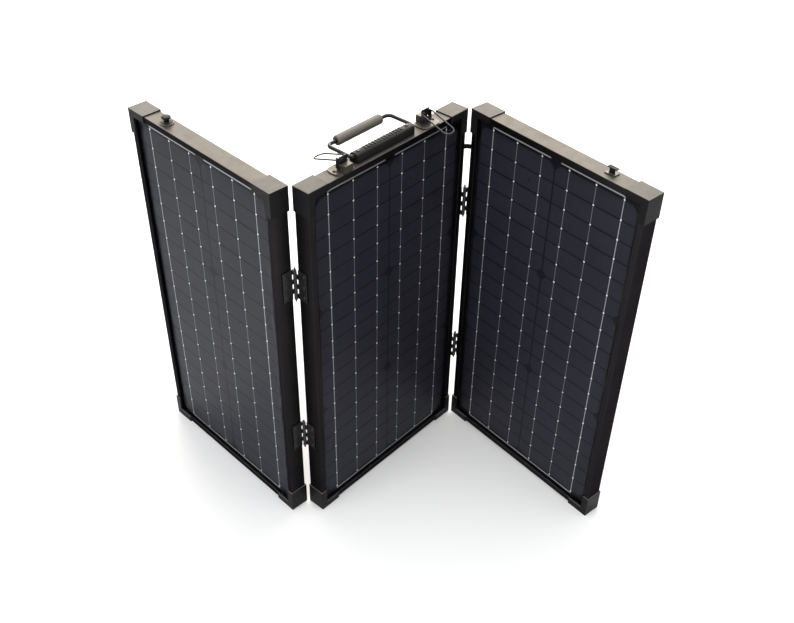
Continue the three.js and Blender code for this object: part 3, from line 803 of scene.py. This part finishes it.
class BuildCable(bpy.types.Operator):
    """Makes the cable that links two junction boxes, with its glands and grommets"""

    bl_idname = "solar.build_cable"
    bl_label = "Link cable"

    def execute(self, context):
        sizes = context.scene.solar_hardware
        points = cable_route()
        section = line_through("link_cable_section", twin_section(sizes.core_radius), closed=True)
        line = line_through("link_cable_line", points)
        line.data.twist_mode = "Z_UP"
        line.data.bevel_mode = "OBJECT"
        line.data.bevel_object = section
        line.data.use_fill_caps = True
        context.view_layer.update()
        swept = line.evaluated_get(context.evaluated_depsgraph_get())
        bm = bmesh.new()
        bm.from_mesh(bpy.data.meshes.new_from_object(swept))
        bmesh.ops.recalc_face_normals(bm, faces=bm.faces)
        for made in (line, section):
            bpy.data.objects.remove(made)
        cable = finished(
            "link_cable_jacket", bm, "cable", stands_for=["link_cable"])
        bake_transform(cable)
        self.fittings(points)
        return {"FINISHED"}

    def fittings(self, points):
        """A tapered gland at each junction box and a flanged grommet in each stile, both oval."""
        oval = Matrix.Diagonal((1, 1.43, 1, 1))
        ends = {
            "middle": (points[0], points[1], points[STRAIGHT_STEPS]),
            "right": (points[-1], points[-2], points[STRAIGHT_STEPS + BEND_STEPS]),
        }
        for panel, (box, onward, mouth) in ends.items():
            ahead = (onward - box).normalized()
            turn = facing(ahead) @ oval
            bm = bmesh.new()
            lathe(bm, GLAND, MM, 20, Matrix.Translation(box) @ turn)
            finished(f"{panel}_cable_gland", bm, "box", panel_body(panel))
            bm = bmesh.new()
            lathe(bm, GROMMET, MM, 20, Matrix.Translation(mouth + ahead * 1.7 * MM) @ turn)
            finished(f"{panel}_cable_grommet", bm, "seal", panel_body(panel))


# ---- frames

RAILS = {"bottom_rail": (0, 2), "top_rail": (0, 2), "left_stile": (2, 0), "right_stile": (2, 0)}


class BuildFrames(bpy.types.Operator):
    """Makes the anodised rails, with rounded outer edges and broken inner ones"""

    bl_idname = "solar.build_frames"
    bl_label = "Frames"

    def execute(self, context):
        sizes = context.scene.solar_edges
        low = own_box("middle_bottom_rail")[0]
        high = own_box("middle_top_rail")[1]
        for panel in PANELS:
            for rail, (along, across) in RAILS.items():
                node = f"{panel}_{rail}"
                bm = merged_copy(node, PLACES[panel])
                outer = corner_edges(bm, lambda e: (
                    sides_touched(middle_of(e), low, high) > 1 and e.calc_length() > 100 * MM))
                round_off(bm, outer, sizes.rail_round, 3)
                rest = corner_edges(bm, lambda e: e.calc_length() > 20 * MM, 40)
                round_off(bm, rest, sizes.rail_break, 1)
                grain_map(bm, along, across)
                on_panel(
                    panel, f"{rail}_extrusion", bm, "anodised", [node], boxy=True)
        return {"FINISHED"}


class BuildCaps(bpy.types.Operator):
    """Makes the moulded corner caps"""

    bl_idname = "solar.build_caps"
    bl_label = "Corner caps"

    def execute(self, context):
        sizes = context.scene.solar_edges
        low = Vector((0, 0, 0))
        for panel in PANELS:
            for corner in ("bottom_left", "bottom_right", "top_left", "top_right"):
                node = f"{panel}_cap_{corner}"
                bm = merged_copy(node, PLACES[panel])
                outer = corner_edges(bm, lambda e: sides_touched(middle_of(e), low, PANEL_SIZE) > 1)
                round_off(bm, outer, sizes.cap_round, 3)
                rest = corner_edges(bm, least=50)
                round_off(bm, rest, sizes.cap_break, 2)
                on_panel(
                    panel, f"cap_{corner}_moulding", bm, "cap", [node], boxy=True)
        return {"FINISHED"}


class BuildPanes(bpy.types.Operator):
    """Gives the glass and the laminate their finishes, and adds the sealing bead"""

    bl_idname = "solar.build_panes"
    bl_label = "Glass and backsheet"

    def execute(self, context):
        for panel in PANELS:
            repaint(f"{panel}_glass", "glass")
            frame["nodes"][f"{panel}_glass"].visible_shadow = False
            repaint(f"{panel}_cell_laminate", "backsheet")
            self.bead(panel)
        return {"FINISHED"}

    def bead(self, panel):
        """A rounded bead of silicone in the angle between the lip and the glass."""
        thick = 0.45 * MM
        lip = 12 * MM
        far_x, far_z = PANEL_SIZE.x - lip, PANEL_SIZE.z - lip
        y = own_box("middle_glass")[0].y - thick
        bm = bmesh.new()
        ends = ((lip, lip), (far_x, lip), (far_x, far_z), (lip, far_z))
        corners = [Vector((x, y, z)) for x, z in ends]
        for i, corner in enumerate(corners):
            other = corners[(i + 1) % 4]
            ahead = (other - corner).normalized()
            place = Matrix.Translation((corner + other) / 2) @ facing(ahead)
            bmesh.ops.create_cone(
                bm, cap_ends=True, segments=8, radius1=thick, radius2=thick,
                depth=(other - corner).length, matrix=place,
            )
        on_panel(panel, "sealing_bead", bm, "seal")


# ---- cells

def column_starts(sizes):
    middle = PANEL_SIZE.x / 2
    return (middle - sizes.column_gap / 2 - sizes.strip_width, middle + sizes.column_gap / 2)


def strip_pitch(sizes):
    return (PANEL_SIZE.z - 2 * sizes.margin) / sizes.strips


def strip_low(sizes, row):
    """The height of a strip's lower edge, row 0 at the foot."""
    spare = strip_pitch(sizes) - sizes.strip_height
    return sizes.margin + row * strip_pitch(sizes) + spare / 2


def ribbon_places(sizes):
    centres = [start + sizes.strip_width / 2 for start in column_starts(sizes)]
    return [c + k * sizes.ribbon_pitch for c in centres for k in (-1, 0, 1)]


CELL_BACK = own_box("middle_cell_laminate")[0].y
CELL_FRONT = CELL_BACK - 0.10 * MM
RIBBON_FRONT = CELL_BACK - 0.19 * MM
RIBBON_BACK = CELL_BACK + 0.05 * MM
SOLDER_FRONT = CELL_BACK - 0.26 * MM
RIBBON_TAIL = 5 * MM


class BuildCells(bpy.types.Operator):
    """Lays out the silicon strips, with the cut corners where each wafer begins and ends"""

    bl_idname = "solar.build_cells"
    bl_label = "Cells"

    def execute(self, context):
        sizes = context.scene.solar_cells
        for panel in PANELS:
            bm = bmesh.new()
            for x0 in column_starts(sizes):
                for row in range(sizes.strips):
                    self.strip(bm, sizes, x0, row)
            on_panel(panel, "cells", bm, "cell")
        return {"FINISHED"}

    def strip(self, bm, sizes, x0, row):
        z0 = strip_low(sizes, row)
        z1 = z0 + sizes.strip_height
        verts = block(bm, (x0, CELL_FRONT, z0), (x0 + sizes.strip_width, RIBBON_BACK, z1))
        cut_at = [z for z, edge in ((z0, row), (z1, row + 1)) if edge % sizes.wafer_strips == 0]
        through = {e for v in verts for e in v.link_edges if depth_of(e) > HAIR}
        chosen = [e for e in through if any(abs(middle_of(e).z - z) < HAIR for z in cut_at)]
        if chosen:
            round_off(bm, chosen, sizes.corner_cut, 1)


class BuildRibbons(bpy.types.Operator):
    """Lays the tinned ribbons, the cross ribbons and the solder dots over the cells"""

    bl_idname = "solar.build_ribbons"
    bl_label = "Ribbons"

    def execute(self, context):
        sizes = context.scene.solar_cells
        for panel in PANELS:
            on_panel(panel, "ribbons", self.ribbons(sizes), "ribbon")
            on_panel(panel, "buses", self.buses(sizes), "bus")
            on_panel(panel, "solder_dots", self.dots(sizes), "solder")
        return {"FINISHED"}

    def ribbons(self, sizes):
        bm = bmesh.new()
        half = sizes.ribbon_width / 2
        foot = sizes.margin - RIBBON_TAIL
        for x in ribbon_places(sizes)[1:-1]:
            block(bm, (x - half, RIBBON_FRONT, foot), (x + half, RIBBON_BACK, PANEL_SIZE.z - foot))
        return bm

    def buses(self, sizes):
        """The heavier ribbons: the outermost upright ones, and those across the top and foot."""
        bm = bmesh.new()
        places = ribbon_places(sizes)
        half = sizes.ribbon_width * 0.6
        bus = sizes.bus_width / 2
        foot = sizes.margin - RIBBON_TAIL
        head = PANEL_SIZE.z - foot
        for x in (places[0], places[5]):
            block(bm, (x - half, RIBBON_FRONT, foot), (x + half, RIBBON_BACK, head))
        overhang = 17 * MM
        runs = (
            (places[0] - half, places[5] + half, foot),
            (places[0] - half, places[2] + overhang, head),
            (places[3] - overhang, places[5] + half, head),
        )
        for x0, x1, z in runs:
            block(bm, (x0, RIBBON_FRONT - 0.03 * MM, z - bus), (x1, RIBBON_BACK, z + bus))
        return bm

    def dots(self, sizes):
        bm = bmesh.new()
        turn = Matrix.Rotation(math.pi / 2, 4, "X")
        thick = CELL_BACK - SOLDER_FRONT
        for x in ribbon_places(sizes):
            for row in range(sizes.strips + 1):
                z = sizes.margin + row * strip_pitch(sizes)
                place = Matrix.Translation((x, (CELL_BACK + SOLDER_FRONT) / 2, z)) @ turn
                bmesh.ops.create_cone(
                    bm, cap_ends=True, segments=8, radius1=sizes.solder_radius,
                    radius2=sizes.solder_radius * 0.7, depth=thick, matrix=place,
                )
        return bm


class BuildJunctionBoxes(bpy.types.Operator):
    """Makes the junction boxes on the panels' backs, with their lids and lid screws"""

    bl_idname = "solar.build_junction_boxes"
    bl_label = "Junction boxes"

    def execute(self, context):
        edges = context.scene.solar_edges
        low, high = own_box("middle_junction_lid")
        inset = 7 * MM
        for panel in PANELS:
            for part in ("junction_box", "junction_lid"):
                node = f"{panel}_{part}"
                bm = merged_copy(node, PLACES[panel])
                through = corner_edges(bm, lambda e: depth_of(e) > 3 * MM)
                round_off(bm, through, edges.box_round * 2, 4)
                round_off(bm, corner_edges(bm, least=50), edges.box_round * 0.6, 2)
                on_panel(
                    panel, f"{part}_moulding", bm, "box", [node], boxy=True)
            places = [
                Matrix.Translation((x, high.y, z)) @ facing((0, 1, 0))
                for x in (low.x + inset, high.x - inset) for z in (low.z + inset, high.z - inset)
            ]
            on_panel(panel, "lid_screws", heads(SCREW, 2.6 * MM, places), "wire")
        return {"FINISHED"}


# ---- hinges

RIVET_PITCH = 19 * MM


class BuildHinges(bpy.types.Operator):
    """Makes the hinge leaves, pins and rivets"""

    bl_idname = "solar.build_hinges"
    bl_label = "Hinges"

    def execute(self, context):
        edges = context.scene.solar_edges
        sizes = context.scene.solar_hardware
        for side in ("left", "right"):
            for level in ("lower", "upper"):
                repaint(f"{side}_{level}_hinge_pin", "wire")
                for owner in ("middle", "outer"):
                    self.leaf(side, level, owner, edges.leaf_break, sizes.rivet_radius)
        return {"FINISHED"}

    def leaf(self, side, level, owner, width, radius):
        node = f"{side}_{level}_hinge_{owner}_leaf"
        panel = "middle" if owner == "middle" else side
        place = PLACES[panel]
        bm = softened(node, width, place)
        body = panel_body(panel)
        low = Vector([min(v.co[i] for v in bm.verts) for i in range(3)])
        high = Vector([max(v.co[i] for v in bm.verts) for i in range(3)])
        finished(f"{node}_pressing", bm, "coated", body, [node], place, boxy=True)
        # The plate stands against the panel's end that is nearest to the leaf
        at_start = (low.x + high.x) / 2 < PANEL_SIZE.x / 2
        face = 0.1 * MM if at_start else PANEL_SIZE.x - 0.1 * MM
        outward = (-1, 0, 0) if at_start else (1, 0, 0)
        inset = PANEL_SIZE.y / 2 - 2.4 * MM
        depth = PANEL_SIZE.y - inset if side == "left" else inset
        middle = (low.z + high.z) / 2
        places = [
            Matrix.Translation((face, depth, middle + rise)) @ facing(outward)
            for rise in (-RIVET_PITCH, 0, RIVET_PITCH)
        ]
        rivets = heads(RIVET, radius, places)
        finished(f"{node}_rivets", rivets, "wire", body, (), place)


# ---- handle

def joint_at(name):
    return Vector(JOINTS[name]["pos_m"])


class BuildHandle(bpy.types.Operator):
    """Makes the handle's base, bail and grip"""

    bl_idname = "solar.build_handle"
    bl_label = "Handle"

    def execute(self, context):
        sizes = context.scene.solar_hardware
        self.base()
        self.bail(sizes)
        self.grip(sizes)
        return {"FINISHED"}

    def base(self):
        bm = softened("handle_base", 0.7 * MM, least=40)
        finished(
            "handle_base_moulding", bm, "base", "middle_panel", ["handle_base"])
        low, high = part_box("handle_base")
        centre = (low + high) / 2
        bm = bmesh.new()
        # Plain raised ribs along the top, between the two ends that hold the bail
        count = 13
        pitch = 6.4 * MM
        half = Vector((1.5 * MM, 4.2 * MM, 0))
        sunk, proud = Vector((0, 0, 2.2 * MM)), Vector((0, 0, 0.9 * MM))
        for i in range(count):
            top = Vector((centre.x + (i - (count - 1) / 2) * pitch, centre.y, high.z))
            rib = block(bm, top - half - sunk, top + half + proud)
            tops = {e for v in rib for e in v.link_edges if middle_of(e).z > high.z}
            round_off(bm, list(tops), 0.5 * MM, 2)
        finished("handle_base_ribs", bm, "base", "middle_panel")
        places = near_ends(low, high, 9 * MM, centre.y, high.z - 0.4 * MM)
        screws = heads(SCREW, 3.0 * MM, places)
        finished("handle_base_screws", screws, "wire", "middle_panel")

    def bail(self, sizes):
        pivot = joint_at("handle_swing")
        low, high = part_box("handle_bail")
        reach = (high.x - low.x) / 2 - sizes.bail_radius
        arm = high.y - sizes.bail_radius - pivot.y
        base_low, base_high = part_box("handle_base")
        insert = (base_high.x - base_low.x) / 2 - 5.6 * MM
        outline = ((-insert, 0), (-reach, 0), (-reach, arm), (reach, arm), (reach, 0), (insert, 0))
        corners = [pivot + Vector((x, y, 0)) for x, y in outline]
        bends = (5 * MM, 9 * MM, 9 * MM, 5 * MM)
        bm = bent_rod(corners, bends, sizes.bail_radius, 20, 10)
        finished("handle_bail_rod", bm, "coated", "handle", ["handle_bail"])

    def grip(self, sizes):
        low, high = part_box("handle_grip")
        half = (high.x - low.x) / 2
        radius = (high.z - low.z) / 2
        edge = sizes.grip_edge
        bore = sizes.bail_radius
        corner = [
            (radius - edge + edge * math.sin(a), half - edge + edge * math.cos(a))
            for a in [math.radians(d) for d in range(0, 91, 15)]
        ]
        upper = [(bore, half - 1.2 * MM), (bore + 1.2 * MM, half), *corner]
        lower = [(r, -h) for r, h in reversed(upper)]
        bm = bmesh.new()
        lathe(bm, upper + lower, 1, 40, Matrix.Translation((low + high) / 2) @ facing((1, 0, 0)))
        finished("handle_grip_sleeve", bm, "grip", "handle", ["handle_grip"])


# ---- latches and catches

class BuildLatches(bpy.types.Operator):
    """Makes the toggle latches and the two catches they close on"""

    bl_idname = "solar.build_latches"
    bl_label = "Latches"

    def execute(self, context):
        sizes = context.scene.solar_hardware
        for name in ("near_latch", "far_latch"):
            self.base(name, sizes)
            lever = f"{name}_lever"
            bm = softened(lever, 0.3 * MM)
            finished(f"{lever}_pressing", bm, "coated", lever, [lever])
            self.loop(name, sizes)
        self.catches()
        return {"FINISHED"}

    def base(self, name, sizes):
        node = f"{name}_base"
        bm = softened(node, 0.35 * MM)
        finished(f"{node}_pressing", bm, "plate", "middle_panel", [node], boxy=True)
        low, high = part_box(node)
        axis_y = joint_at(f"{name.split('_')[0]}_lever_turn").y
        places = near_ends(low, high, 5.4 * MM, axis_y, low.z + 1.6 * MM)
        rivets = heads(RIVET, sizes.rivet_radius * 1.1, places)
        finished(f"{node}_rivets", rivets, "wire", "middle_panel")

    def loop(self, name, sizes):
        """The wire loop: its pivot and its hanging direction come from its CAD solid."""
        side = name.split("_")[0]
        pivot = joint_at(f"{side}_loop_swing")
        low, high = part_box(f"{name}_loop")
        wire = sizes.wire_radius
        reach = (high.x - low.x) / 2 - wire
        tip_y = low.y + wire if side == "far" else high.y - wire
        drop = low.z + wire - pivot.z
        tip = Vector((0, tip_y - pivot.y, drop))
        end = 6.5 * MM
        across = Vector((1, 0, 0))
        corners = [
            pivot - across * end, pivot - across * reach, pivot - across * reach + tip,
            pivot + across * reach + tip, pivot + across * reach, pivot + across * end,
        ]
        bm = bent_rod(corners, (1.9 * MM, 9 * MM, 9 * MM, 1.9 * MM), wire, 14, 10)
        finished(f"{name}_loop_wire", bm, "wire", f"{name}_loop", [f"{name}_loop"])

    def catches(self):
        low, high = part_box("left_catch")
        foot = Vector(((low.x + high.x) / 2, (low.y + high.y) / 2, low.z))
        bm = bmesh.new()
        lathe(bm, KNOB, MM, 32, Matrix.Translation(foot))
        self.foot_plated(bm, low.z)
        knob = finished("left_catch_knob", bm, "box", "left_panel", ["left_catch"])
        bm = softened("right_catch", 0.4 * MM, PLACES["right"], segments=3)
        self.foot_plated(bm, low.z)
        hook = on_panel("right", "catch_hook", bm, "box", ["right_catch"])
        for catch in (knob, hook):
            catch.data.materials.append(MATERIALS["plate"])

    def foot_plated(self, bm, floor):
        """Marks the faces of a catch's foot for the plated finish."""
        for face in bm.faces:
            if face.calc_center_median().z < floor + 1.9 * MM:
                face.material_index = 1


# ---- panel and registration

BUILDERS = (
    BuildStage, BuildCable, BuildFrames, BuildCaps, BuildPanes, BuildCells, BuildRibbons,
    BuildJunctionBoxes, BuildHinges, BuildHandle, BuildLatches,
)


class SolarSidebar(bpy.types.Panel):
    """Lists the sizes and the builders in the sidebar"""

    bl_idname = "VIEW3D_PT_solar_panel"
    bl_label = "Solar Panel"
    bl_space_type = "VIEW_3D"
    bl_region_type = "UI"
    bl_category = "Solar Panel"

    def draw(self, context):
        for name, group in SETTINGS.items():
            column = self.layout.column(align=True)
            column.label(text=group.__name__)
            for key in group.__annotations__:
                column.prop(getattr(context.scene, name), key)
        for builder in BUILDERS:
            self.layout.operator(builder.bl_idname)


def register():
    for kind in (*SETTINGS.values(), *BUILDERS, SolarSidebar):
        bpy.utils.register_class(kind)
    for name, group in SETTINGS.items():
        setattr(bpy.types.Scene, name, PointerProperty(type=group))


def unregister():
    for name in SETTINGS:
        delattr(bpy.types.Scene, name)
    for kind in reversed((*SETTINGS.values(), *BUILDERS, SolarSidebar)):
        bpy.utils.unregister_class(kind)


def main():
    register()
    make_materials(bpy.context.scene.solar_colours)
    for builder in BUILDERS:
        group, name = builder.bl_idname.split(".")
        getattr(getattr(bpy.ops, group), name)()


if __name__ == "__main__":
    main()
